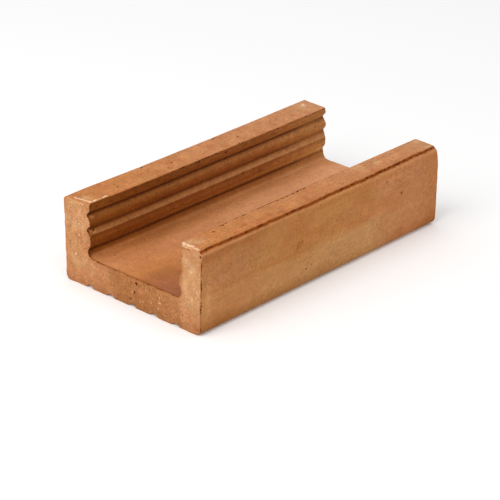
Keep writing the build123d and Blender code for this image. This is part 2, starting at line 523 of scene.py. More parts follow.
def section_grid(section, inset):
    """Half the section as a grid of points, each one's length along the outline and share inwards.

    Rows run from the middle plane to the wall top, columns from the outer to the inner outline. A
    point lies between its two outlines by the column's share, and is lifted towards the wall top's
    curve by the row's share.
    """
    outer = np.concatenate([
        section.places(0, section.bottom_corner, WEB_ROWS),
        section.places(section.bottom_corner, section.top_outer, WALL_ROWS)[1:],
    ])
    inner = np.concatenate([
        section.places(section.end, section.floor_corner, WEB_ROWS),
        section.places(section.floor_corner, section.top_inner, WALL_ROWS)[1:],
    ])
    top = section.places(section.top_outer, section.top_inner, WALL_COLUMNS)
    share = ((top - top[0]) / (top[-1] - top[0]))[None, :, None]
    lift = (np.linspace(0, 1, len(outer)) ** 6)[:, None, None]
    outer_spots = section.spots(outer, inset)[:, None, :]
    inner_spots = section.spots(inner, inset)[:, None, :]
    grid = outer_spots * (1 - share) + inner_spots * share
    grid = grid + lift * (section.spots(top, inset)[None] - grid[-1:])
    lengths = np.full(grid.shape[:2], np.nan)
    lengths[:, 0] = outer
    lengths[:, -1] = inner
    lengths[-1] = top
    return grid, lengths, np.broadcast_to(share[..., 0], lengths.shape)


def both_sides(half):
    """A half grid and its mirror image as one grid, from the far wall's top to the near wall's."""
    return np.concatenate([half[::-1], half[1:]])


def rim(grid):
    """The values round the edge of a grid: outer side, near wall top, inner side, far wall top."""
    return np.concatenate([grid[:, 0], grid[-1, 1:-1], grid[::-1, -1], grid[0, -2:0:-1]])


def quads(grid):
    """Faces between the neighbours in a grid of point numbers."""
    return np.stack([grid[:-1, :-1], grid[1:, :-1], grid[1:, 1:], grid[:-1, 1:]], axis=2).reshape(-1, 4)


def stations(arris):
    """Places along X from end to end, and how far the outline is drawn in at each of them.

    The arris is a quarter circle: at an angle t from the side face it lies arris (1 - sin t) from
    the end, and is drawn in by arris (1 - cos t).
    """
    angles = np.linspace(math.pi / 2, 0, ARRIS_STEPS + 1)
    start = -LENGTH / 2 + arris * (1 - np.sin(angles))
    x = np.linspace(0, LENGTH - 2 * arris, 4000)
    from_end = np.minimum(x, x[-1] - x)
    fineness = 1 / STATION_SPACING + np.exp(-from_end / END_REACH) / END_SPACING
    middle = respaced(x, fineness, 0, x[-1], STATIONS)[1:-1] - LENGTH / 2 + arris
    x = np.concatenate([start, middle, -start[::-1]])
    drawn_in = arris * (1 - np.cos(angles))
    return x, np.concatenate([drawn_in, np.zeros(len(middle)), drawn_in[::-1]])


def bent_brick(sizes):
    """The whole skin of the channel as one closed mesh of quads.

    It is a brick bent into a U: its four long sides are the section's outline carried along X, and
    its two ends are the section's own grid. Gives points, faces, and for each point the length
    along the outline, which is not a number inside the ends, the wall that it is on, and its share
    of the way from the outer outline to the inner one.
    """
    section = Section(sizes)
    x, drawn_in = stations(sizes.end_arris)
    plain, lengths, inwards = section_grid(section, 0.0)
    small = section_grid(section, sizes.end_arris)[0]
    wall = np.ones(plain.shape[:2])
    wall_of = both_sides(wall)
    wall_of[len(wall):] = -1
    mirror = np.stack([wall_of, np.ones_like(wall_of)], axis=2)
    plain = both_sides(plain) * mirror
    small = both_sides(small) * mirror
    lengths = both_sides(lengths)
    inwards = both_sides(inwards)
    edge, edge_small = rim(plain), rim(small)
    share = (drawn_in / sizes.end_arris)[:, None, None]
    yz = edge[None] * (1 - share) + edge_small[None] * share
    tube = np.concatenate([np.broadcast_to(x[:, None, None], yz.shape[:2] + (1,)), yz], axis=2)
    count, around = tube.shape[:2]
    ring = np.arange(count * around).reshape(count, around)
    closed = np.concatenate([ring, ring[:, :1]], axis=1)
    faces = [quads(closed)]
    points = [tube.reshape(-1, 3)]
    inside = small[1:-1, 1:-1].reshape(-1, 2)
    for station, flip in ((0, False), (count - 1, True)):
        grid = np.empty(small.shape[:2], int)
        edge_places = rim(np.arange(grid.size).reshape(grid.shape))
        grid.ravel()[edge_places] = ring[station]
        grid[1:-1, 1:-1] = sum(map(len, points)) + np.arange(len(inside)).reshape(grid.shape[0] - 2, -1)
        points.append(np.column_stack([np.full(len(inside), x[station]), inside]))
        faces.append(quads(grid)[:, ::-1] if flip else quads(grid))
    points = np.concatenate(points)
    s = np.full(len(points), np.nan)
    s[: count * around] = np.tile(rim(lengths), count)
    side = np.where(points[:, 1] >= 0, 1.0, -1.0)
    inwards = np.concatenate([np.tile(rim(inwards), count)] + 2 * [inwards[1:-1, 1:-1].ravel()])
    return section, points, np.concatenate(faces), s, side, inwards


def point_normals(points, faces):
    """Outward direction at each point: the sum of its faces' normals, each as long as its face is large."""
    corner = points[faces]
    normal = np.cross(corner[:, 2] - corner[:, 0], corner[:, 3] - corner[:, 1])
    total = [np.bincount(faces.ravel(), np.repeat(column, 4), len(points)) for column in normal.T]
    total = np.stack(total, axis=1)
    return total / np.linalg.norm(total, axis=1)[:, None]


def edge_wave(x, side, grain, seed):
    """A wave along X that differs between the two walls."""
    return wave(x + side * LENGTH, grain, seed)


def marked(points, marks):
    """The highest of the bells round some marks, each given by its place and width in millimetres."""
    distances = [np.linalg.norm(points - np.array(mark[:3]) * MM, axis=1) for mark in marks]
    return np.max([bell(distance, mark[3] * MM) for distance, mark in zip(distances, marks)], axis=0)


def stroked(points, strokes):
    """The highest of the bells round some strokes, each given by its ends and width in millimetres.

    A point p lies |p - a - t (b - a)| from the stroke from a to b, where t is the share
    (p - a) . (b - a) / |b - a|^2 kept between 0 and 1.
    """
    highest = np.zeros(len(points))
    for start, end, width in strokes:
        start = np.array(start) * MM
        reach = np.array(end) * MM - start
        share = np.clip((points - start) @ reach / (reach @ reach), 0, 1)
        distance = np.linalg.norm(points - start - share[:, None] * reach, axis=1)
        highest = np.maximum(highest, bell(distance, width * MM))
    return highest


def risen(sizes, z):
    """How high up a wall each point lies: 0 at the channel floor and below, 1 at the wall tops."""
    return np.clip((z - sizes.floor) / (HEIGHT - sizes.floor), 0, 1)


def drift(sizes, wear, points, inwards):
    """Moves the faces, in place, to where the die's core, the cutting wire and the kiln left them.

    The core sits off towards -Y on the near side. The inside of the +Y wall opens over the last 20 mm
    before the -X end, and at the very end the wire has dragged a lip of clay towards -Y, which is
    thicker at the foot of the +Y wall and at the top of the -Y wall. The channel floor sinks evenly
    from no sag at the -X end to all of it at the +X end. The outside of the +Y wall is turned about a
    line along its side: its top leans out, most at the -X end.
    """
    x, y, z = points.T
    from_front = x + LENGTH / 2
    rise = risen(sizes, z)
    far = ramp(y, -20, 20)
    lip = hump(from_front, 0, 3)
    far_shift = wear.flare * hump(from_front, 0, 20) - wear.smear * (1.6 - 0.5 * rise) * lip
    near_shift = -wear.core - wear.smear * (0.2 + 0.8 * rise) * lip
    turned = (z / HEIGHT - TURN_LINE) / (1 - TURN_LINE) * ramp(y, 38, 60) * hump(from_front, 0, 40)
    y += inwards * (near_shift * (1 - far) + far_shift * far) + (1 - inwards) * wear.lean * turned
    z -= inwards * wear.bed_sag * (0.5 + x / LENGTH) * ramp(z - sizes.floor, 4, 0.3)


def stray(wear, x, side):
    """How far the tear and the seam lie from a straight line."""
    seed = wear.seed
    long_stray = wear.wander * edge_wave(x, side, 9, seed + 1)
    return long_stray + wear.short_wander * edge_wave(x, side, 2.4, seed + 2)


def skin_height(wear, points, cut):
    """Height of the die skin, which is drawn out along X, and of the grain that the wire lays bare."""
    seed = wear.seed
    drawn = points * np.array([0.3, 1, 1])
    skin = layered(drawn, 16, seed) * 0.8 + layered(points, 4.5, seed + 9) * 0.35
    grain = layered(points, 3.2, seed + 20) + 0.4 * layered(points, 1.1, seed + 30, 1)
    return wear.skin_relief * skin * (1 - cut) + wear.cut_relief * grain * cut


def corner_height(wear, section, x, s, side):
    """Height of the corners that came out fuller or flatter than the rounds of the die."""
    far = side > 0
    top = wear.fuller_top * hump(s - section.top_outer, 0, 2.2) * ramp(x, -160, -95) * far
    foot = np.where(far, wear.fuller_foot, -wear.flatter_foot)
    return top + foot * hump(s - section.bottom_corner, 0, 4)


def torn_step(wear, section, x, s, side):
    """The tear along the top outer edge of the -Y wall: its height, its dark line of torn clay and painted
    shadow, and its recess, where shade is painted.

    It lies at u = 0 and runs down the outer face to u = -step_width, with a rolled ridge below it.
    """
    seed = wear.seed
    u = s - section.tear + stray(wear, x, side)
    u = u - 0.8 * MM * ramp(x, -60, -105) - 0.9 * MM * ramp(x, 60, 110)
    depth = 0.72 + 0.22 * edge_wave(x, side, 7, seed + 3) + 0.28 * edge_wave(x, side, 2.2, seed + 4)
    depth = np.clip(depth, 0.25, 1.1) * (1 - 0.6 * ramp(x, 112, 122))
    groove = ramp(u, 0.15, -0.25) * smooth_step(-1.1 * wear.step_width, -0.4 * wear.step_width, u)
    rolled = wear.rolled_ridge * hump(u + 1.5 * wear.step_width, 0, 0.9)
    blobs = edge_wave(x, side, 2, seed + 50) + 0.4 * edge_wave(x, side, 7, seed + 51)
    blobs = (0.24 + 0.42 * smooth_step(-0.3, 0.8, blobs)) * (1 - 0.2 * ramp(x, 60, 110))
    recess_shade_and_crack = ramp(u, -2.4, -0.2) * ramp(u, 1.9, 0.8)
    height = rolled - wear.step_depth * depth * groove
    torn_and_shade = blobs * hump(u, 0.3, 0.75)
    near = side < 0
    return height * near, torn_and_shade * near, recess_shade_and_crack * near


def crumbled(wear, section, x, s, side):
    """Crumbled edges inside the channel: their height, and how dark they are: torn clay and painted shade.

    The top inner edge of the +Y wall is eaten away all along, that of the -Y wall has a broken seam
    beside it, and the crests of the ribs are rough in places.
    """
    seed = wear.seed
    far = side > 0
    inside = s - section.top_inner
    crumble = edge_wave(x, side, 3.5, seed + 5) + 0.5 * edge_wave(x, side, 1.5, seed + 6)
    crumble = smooth_step(-0.6, 1.0, crumble)
    dashes = edge_wave(x, side, 11, seed + 7) + 0.5 * edge_wave(x, side, 3, seed + 8)
    dashes = smooth_step(-1.1, -0.2, dashes) * smooth_step(-1.0, -0.1, edge_wave(x, side, 2.7, seed + 12))
    dashes = dashes * (0.35 + 0.65 * ramp(x, 60, 5) * ramp(x, -92, -84)) * ramp(x, -108, -100)
    seam = hump(inside + 2 * stray(wear, x, side), -0.9, 0.7) * (side < 0) * dashes
    height = -wear.nick_depth * crumble * hump(inside, 0.2, 1) * far - wear.seam_depth * seam
    torn_and_shade = np.maximum((0.05 + 0.6 * crumble) * hump(inside, 0.3, 0.8) * far, 0.60 * seam)
    for count, place in enumerate(section.shoulders):
        crest = smooth_step(0.2, 0.9, edge_wave(x, side, 3, seed + 40 + count)) * hump(s - place, 0, 0.8)
        height = height - 0.6 * wear.nick_depth * crest
        torn_and_shade = np.maximum(torn_and_shade, 0.45 * crest)
    return height, torn_and_shade


def ragged_end(wear, section, points, s, side):
    """The broken edge round the -X end: its height, and how dark it is: torn clay and painted shadow under
    undercut edges.
    """
    ragged = mottle(points, 4, wear.seed + 60) + 0.5 * mottle(points, 1.4, wear.seed + 61)
    ragged = smooth_step(-0.7, 0.7, ragged)
    on_face = (s > section.bottom_corner) & (s < section.top_outer) & (side < 0)
    on_bed = s > section.floor_corner - 6 * MM
    on_ribs = (s > section.top_inner) & (side > 0)
    edge = hump(points[:, 0] + LENGTH / 2, 0.3, 0.8) * (on_face | on_bed | on_ribs)
    torn_and_shade = (0.20 + 0.34 * ragged - 0.10 * on_face) * edge
    undercut_shadow = (0.26 + 0.26 * ragged) * stroked(points, UNDERCUT_SHADOWS)
    return -wear.end_break * ragged * edge, np.maximum(torn_and_shade, undercut_shadow)


def knock_corner(sizes, wear, points, side):
    """Presses back the top edge of the -X end, in place, and gives how pale and powdery the clay is.

    A point lies slope ((-x - LENGTH / 2) + (z - HEIGHT)) + depth beyond a plane that cuts the edge
    at 45 degrees, where slope is the sine of that angle, and is moved back onto that plane.
    """
    x, y, z = points.T
    seed = wear.seed
    worn = 0.35 + 0.5 * edge_wave(y, 0, 6, seed + 70) + 0.35 * wave(y, 1.9, seed + 71)
    beyond = (-x - LENGTH / 2) * SLOPE + (z - HEIGHT) * SLOPE + wear.chip_depth * np.clip(worn, 0.05, 1)
    chip = np.maximum(beyond + 0.25 * MM * layered(points, 2, seed + 80), 0) * (z > sizes.floor)
    points += chip[:, None] * np.array([SLOPE, 0, -SLOPE])
    powder = 0.62 + 0.12 * (side < 0) + 0.45 * layered(points, 1.8, seed + 90)
    pale = [0.40 * ramp(chip, 0, 0.8), stroked(points, CHIPS) * powder, 0.80 * marked(points, SPECKS)]
    return np.max(pale, axis=0)


def warp(sizes, wear, points, side):
    """Moves the points, in place, as drying, cutting and firing bent the walls.

    The walls lean in by bow (1 - (2 x / LENGTH)^2) at their tops, the top outer edge of the -Y wall
    gets rounder towards the +X end, and the walls run on past that end below their tops.
    """
    x, y, z = points.T
    rise = risen(sizes, z)
    rounder = wear.worn_corner * bell(np.hypot(y + WIDTH / 2, z - HEIGHT), 5 * MM) * ramp(x, 100, 124)
    longer = ramp(z, 60, 46) * ramp(np.abs(y), 34, 48)
    bow = np.where(side < 0, wear.near_bow, wear.bow)
    y += SLOPE * rounder - side * bow * (1 - (2 * x / LENGTH) ** 2) * rise
    z -= SLOPE * rounder
    x += wear.overrun * longer * smooth_step(60 * MM, LENGTH / 2, x)
    # The wet clay lies on a flat board, so nothing stands lower than the underside
    z[:] = np.maximum(z, 0)


def wear_down(sizes, wear, section, points, faces, s, side):
    """Moves the points of the plain skin, in place, to where tears, cuts, knocks and firing left them.

    Gives how dark the clay is from tears, pits and painted shadow, how chipped and how cut it is at each
    point, and how far it lies in the recess of the tear, where brown shade is painted, all from 0 to 1.
    """
    x = points[:, 0]
    normals = point_normals(points, faces)
    on_skin = ~np.isnan(s)
    s = np.where(on_skin, s, -1.0)
    cut = smooth_step(sizes.end_arris, 0.3 * sizes.end_arris, LENGTH / 2 - np.abs(x))
    step, step_torn_shade, recess_shade_and_crack = torn_step(wear, section, x, s, side)
    nicks, nicks_torn_shade = crumbled(wear, section, x, s, side)
    end, end_torn_shade = ragged_end(wear, section, points, s, side)
    pits = marked(points, PITS)
    lips = stroked(points, FLAPS) * (side > 0) * on_skin
    lift = skin_height(wear, points, cut) + corner_height(wear, section, x, s, side)
    lift = lift + step + nicks + end + wear.pit_depth * (lips - pits)
    torn_and_shade = np.max([step_torn_shade, nicks_torn_shade, end_torn_shade, 0.69 * pits], axis=0)
    points += normals * lift[:, None]
    chipped = knock_corner(sizes, wear, points, side)
    warp(sizes, wear, points, side)
    return np.clip(torn_and_shade * (1 - chipped), 0, 1), np.clip(chipped, 0, 1), cut, recess_shade_and_crack


def blend(first, second, share):
    """One colour turning into another by the share. Each is one colour, or one for each point."""
    share = np.reshape(share, (-1, 1))
    return np.array(first[:]) * (1 - share) + np.array(second[:]) * share


def toned(colour, *tones):
    """A colour after some tones, each a share and the factors for red, green and blue."""
    for share, *factors in tones:
        colour = blend(colour, colour * np.array(factors + [1]), share)
    return colour


def side_colour(colours, section, points, place):
    """Outer faces: golden brown with pinkish and reddish patches, a sandier band, and painted shade at the
    foot.
    """
    x, z = points[:, 0], points[:, 2]
    drawn = points * np.array([0.5, 1, 1])
    low = ramp(z + 1.5 * MM * layered(points, 30, 5, 2), 32, 24)
    low = low * ramp(x + 12 * MM * layered(points, 20, 6, 2), 85, 40)
    rosy = 0.35 * layered(drawn, 14, 7) + ramp(x, 20, 90) + 0.5 * ramp(x, -40, -110)
    colour = blend(colours.side, colours.side_rosy, smooth_step(-0.2, 1.1, rosy))
    colour = blend(colour, colours.side_warm, 0.7 * smooth_step(0.2, 0.9, layered(drawn, 20, 9)))
    colour = blend(colour, colours.side_low, low * (0.4 + 0.6 * ramp(x, -110, 10)))
    colour = blend(colour, colours.side_warm, 0.4 * hump(z, 30, 1.5) * ramp(x, 20, -40))
    colour = toned(
        colour,
        (hump(x, 48, 30) * hump(z, 41, 8), 1.03, 1.07, 1.13),
        (hump(x, -75, 30) * hump(z, 39, 6), 1.03, 1.08, 1.12),
        (hump(x, -25, 35) * hump(z, 26, 8), 0.97, 0.93, 0.85),
    )
    colour = blend(colour, colours.side_warm, 0.7 * marked(points, WARM_PATCHES))
    colour = toned(
        colour,
        (0.5 + 0.5 * layered(drawn, 12, 41), 0.91, 0.90, 0.89),
        (smooth_step(0, 1, layered(drawn, 34, 43)), 0.84, 0.80, 0.74),
    )
    stained = stroked(points, STAINS) * (0.65 + 0.4 * layered(points, 2, 45))
    colour = blend(colour, colours.stain, np.clip(stained, 0, 1))
    # A paler strip of the -Y face beside the -X end
    pale_strip = 0.45 * hump(x, -118.8, 2.2) * ramp(z, 48, 36) * ramp(z, 8, 16)
    pale_strip = pale_strip * (0.85 + 0.3 * layered(points, 5, 51))
    colour = blend(colour, colours.side_rim, np.clip(pale_strip, 0, 1))
    under_edge = hump(place - section.top_outer, -5.5, 1.6) * (0.5 + 0.5 * wave(x, 25, 3))
    colour = blend(colour, colours.side_warm, under_edge)
    return toned(
        colour,
        (ramp(x, -35, -90) * ramp(z, 26, 40), 0.88, 0.87, 0.88),
        (ramp(x, 30, 60) * ramp(x, 115, 95), 1.05, 1.08, 1.12),
        # Painted shade along the foot of the outer faces, and more of it at the -X end
        (ramp(z, 14, 4) * (1 - 0.45 * ramp(x, -40, 40)), 0.76, 0.70, 0.58),
        (ramp(z, 20, 8) * ramp(x, -80, -110), 0.94, 0.88, 0.80),
        (ramp(x, 110, 121), 0.97, 0.95, 0.88),
    )


def top_colour(colours, section, points, place, back):
    """Wall tops: redder patches, brown streaks, pale scuffs, and a duller strip beside the tear."""
    x = points[:, 0]
    on_near = ramp(points[:, 1], 0, -1)
    colour = blend(colours.top, colours.top_back, back)
    colour = blend(colour, colours.top_rosy, 0.5 * smooth_step(0, 1.1, layered(points, 6, 21)))
    colour = toned(
        colour,
        (hump(place - section.top_outer, 3, 3) * on_near, 0.95, 0.90, 0.85),
        (hump(x, 10, 60) * on_near, 0.98, 0.96, 0.92),
        (ramp(x, 98, 116), 1.03, 1.09, 1.18),
        (0.5 + 0.5 * layered(points, 9, 49), 0.88, 0.84, 0.80),
        (stroked(points, STREAKS), 0.80, 0.62, 0.55),
    )
    scuffed = marked(points, SCUFFS) * (0.5 + 0.35 * layered(points, 2.6, 23))
    return blend(colour, colours.smear, np.clip(scuffed, 0, 1))


def rib_colour(colours, section, points, place, back):
    """Inner faces: dull ribs with lengthwise streaks, and painted light and shade.

    Painted light lies on the upward flanks, on the shoulders above the notch corners, on the lips and
    towards the +X end, where light comes in; painted shade lies in and just below the notch corners
    and under the sharp edge.
    """
    x = points[:, 0]
    past_sharp = place - section.sharp
    first, second, third = (place - line for line in section.lines[:3])
    streaks = 0.6 * wave(place, 0.9, 31) + 0.4 * layered(points * np.array([0.04, 1, 1]), 1.6, 33, 2)
    streaks = np.clip(0.5 + (0.6 + 0.6 * hump(past_sharp, 3.5, 2.6)) * streaks, 0, 1)
    flank = blend(colours.flank, colours.flank_back, back)
    colour = toned(
        blend(colours.rib, colours.rib_back, back),
        (streaks, 0.80, 0.74, 0.68),
        # Painted light towards the +X end, where light comes into the channel, and on the shoulders above
        # the notch corners
        (ramp(x, 45, 110), 1.25, 1.48, 1.80),
        (hump(first, -3.4, 2.04), 1.18, 1.34, 1.30),
        (hump(second, -3.4, 2.04), 1.18, 1.34, 1.30),
        (hump(third, -4.6, 2.76), 1.18, 1.34, 1.30),
    )
    # Painted light on the notch flanks, which face up
    colour = blend(colour, flank, 0.35 * hump(place - section.flank, 0, 1.8))
    colour = blend(colour, flank, ramp(second, 0.3, 2.4) * ramp(past_sharp, 0.25, -0.15))
    colour = toned(
        colour,
        (hump(third, -3.4, 2.2) * ramp(x, -85, -40), 1.22, 1.45, 1.60),
        # Painted shade just below the two upper notch corners
        (hump(first, 1.6, 1) + hump(second, 2.2, 1.2), 0.87, 0.81, 0.72),
    )
    # Painted shade in the notch corners and under the sharp edge, weaker at the +X end where light comes in
    corner_shade = 1 - 0.4 * ramp(x, 80, 115)
    for past, strength in ((first, 0.9), (second, 0.65), (third, 0.9)):
        colour = blend(colour, colours.gap, strength * corner_shade * hump(past, 0, 0.85))
    colour = blend(colour, colours.gap, 0.25 * hump(past_sharp, 1, 0.6))
    # Pale lips of clay, made lighter still as painted light
    return blend(colour, colours.flap, 0.85 * stroked(points, FLAPS))


def bed_colour(colours, points, back):
    """Channel floor: paler at the +X end, with painted shade beside both walls, redder in the -X corner."""
    x, y = points[:, 0], points[:, 1]
    colour = toned(
        blend(colours.bed, colours.bed_back, back),
        (ramp(x, 65, 115), 1.06, 1.10, 1.18),
        (hump(y, 18, 13) * ramp(x, -10, -70), 1.10, 1.14, 1.32),
        # The next three: painted shade beside the -Y wall and along the foot of the +Y wall
        (ramp(y, 4, -16) * ramp(x, 30, -60), 0.86, 0.82, 0.82),
        (ramp(y, 31, 38) * ramp(x, 95, 60), 0.90, 0.85, 0.78),
        (ramp(y, 20, 36) * ramp(x, -108, -60), 0.84, 0.80, 0.68),
        (hump(x, -122, 20) * ramp(y, 0, 35), 1.05, 1.09, 1.25),
    )
    # Red painted shade in the floor's corner beside the -Y wall at the -X end
    colour = blend(colour, colours.bed_red_shade, 0.9 * hump(x, -124, 24) * ramp(y, 4, -34))
    streaks = 0.5 + 0.5 * layered(points * np.array([0.3, 1, 1]), 8, 27)
    colour = toned(colour, (streaks, 0.87, 0.84, 0.80), (1, 1.025, 1.03, 1.035))
    # The dark crack line along the floor's -X edge
    return blend(colour, colours.recess_shade_and_crack, 0.9 * hump(x + LENGTH / 2, 0, 1.6))


def end_colour(colours, points):
    """Cut ends: pale smears on the walls, redder and coarser over the floor, dark along the near edge."""
    y, z = points[:, 1], points[:, 2]
    uneven = layered(points, 9, 15)
    patchy = layered(points, 5, 25, 4)
    on_near = ramp(y + 2 * MM * uneven, -43.5, -48.5)
    inner_side = 34 * MM + 9 * MM * hump(z, 33, 9)
    on_far = ramp(y + 4 * MM * uneven - inner_side, 0, 9)
    on_far = on_far * ramp(z + 8 * MM * uneven - 0.5 * (y - 45 * MM), 4, 18)
    web = blend(colours.web_cut, colours.web_red, ramp(y + 10 * MM * uneven, 34, 15))
    web = toned(web, (0.7 * hump(y, 2, 22) * (0.7 + 0.3 * uneven), 0.80, 0.70, 0.60))
    web = blend(web, colours.web_cut, 0.7 * smooth_step(0.2, 1.2, patchy))
    web = toned(web, (ramp(z, 10, 3), 0.90, 0.90, 0.90))
    wall = blend(colours.wall_cut, colours.web_cut, 0.7 * smooth_step(0, 1.5, patchy + 0.1))
    wall = blend(wall, colours.smear, 0.40 * smooth_step(0, 1.2, -patchy) * ramp(z, 12, 30))
    dull = np.maximum(ramp(z, 50, 57), ramp(z, 24, 12)) * ramp(y, 0, -20)
    wall = blend(wall, colours.web_cut, np.clip(0.6 * dull * (1 + 0.4 * uneven), 0, 1))
    near_edge = hump(y, -64.4, 0.6 + 0.4 * ramp(z, 38, 20)) * ramp(z, 56, 50) * ramp(z, 3, 8)
    dull_patches = np.clip(marked(points, DULL_PATCHES) * (0.8 + 0.3 * patchy), 0, 1)
    return toned(
        blend(web, wall, np.maximum(on_near, on_far)),
        (ramp(y, 30, 45) * ramp(z, 18, 26), 0.99, 0.94, 0.92),
        (ramp(np.abs(y), 58, 63.5) * ramp(z, 20, 28), 0.96, 0.91, 0.86),
        (ramp(z, 10, 4) * ramp(y, -42, -50), 0.86, 0.82, 0.76),
        (near_edge * (0.85 + 0.3 * layered(points, 3, 53)), 0.60, 0.50, 0.38),
        (marked(points, PALE_PATCHES) * (0.8 + 0.3 * uneven), 1.10, 1.18, 1.28),
        (dull_patches, 0.88, 0.80, 0.70),
    )


def tinted(colours, section, points, s, cut, recess_shade_and_crack):
    """Colour of the clay at each point, blended from its zones' colours, and how grainy it is."""
    x = points[:, 0]
    place = np.where(np.isnan(s), 0, s)
    back = smooth_step(-0.45, 0.3, x / LENGTH)
    over_edge = place - section.top_outer
    inside = place - section.top_inner
    in_corner = place - section.floor_corner
    on_top = ramp(over_edge, -0.6, 0.3)
    # Painted highlight on the rounded ridge below the tear, which faces up towards the light
    ridge_highlight = 0.75 * hump(over_edge, -1.2, 1.2) * (0.8 + 0.2 * wave(x, 14, 47))
    colour = blend(side_colour(colours, section, points, place), colours.ridge_highlight, ridge_highlight)
    colour = blend(colour, top_colour(colours, section, points, place, back), on_top)
    # Painted shade in the recess of the tear
    colour = blend(colour, colours.recess_shade_and_crack, recess_shade_and_crack)
    colour = blend(colour, rib_colour(colours, section, points, place, back), ramp(inside, -0.4, 0.3))
    colour = toned(
        colour,
        # Painted shade under the top inner edge of both walls, more of it at the -X end
        (hump(inside, 0.7, 1), 0.82, 0.72, 0.62),
        (hump(inside, 2, 1.6) * ramp(x, 20, -90), 0.88, 0.86, 0.90),
    )
    colour = blend(colour, bed_colour(colours, points, back), ramp(in_corner, -0.5, 2))
    colour = blend(colour, end_colour(colours, points), cut)
    on_ribs = ramp(inside, 0, 1) * ramp(in_corner, 0, -2)
    return colour, 0.85 + 0.4 * on_top * (inside < 0) + 0.5 * on_ribs + 0.65 * cut


def add_node(tree, kind, inputs=None, **settings):
    """One node with its settings; inputs gives values or other nodes' sockets by name or number."""
    node = tree.nodes.new("ShaderNode" + kind)
    for name, value in settings.items():
        setattr(node, name, value)
    for key, value in (inputs or {}).items():
        if isinstance(value, bpy.types.NodeSocket):
            tree.links.new(value, node.inputs[key])
        else:
            node.inputs[key].default_value = value
    return node


def worked_out(tree, operation, *values):
    """The result of a sum with up to three values; MULTIPLY_ADD is first times second plus third."""
    return add_node(tree, "Math", dict(enumerate(values)), operation=operation).outputs[0]


def ranged(tree, value, low, high, to_low=0, to_high=1, kind="LINEAR"):
    """The value, which runs from low to high, turned into one that runs from to_low to to_high."""
    inputs = {"Value": value, "From Min": low, "From Max": high, "To Min": to_low, "To Max": to_high}
    return add_node(tree, "MapRange", inputs, interpolation_type=kind).outputs[0]


def mixed(tree, share, first, second, kind="MIX"):
    """Two colours mixed by the share."""
    inputs = {0: share, 6: first, 7: second}
    return add_node(tree, "Mix", inputs, data_type="RGBA", blend_type=kind).outputs[2]


def new_tree(material):
    """The material's node tree, emptied."""
    material.use_nodes = True
    material.node_tree.nodes.clear()
    return material.node_tree


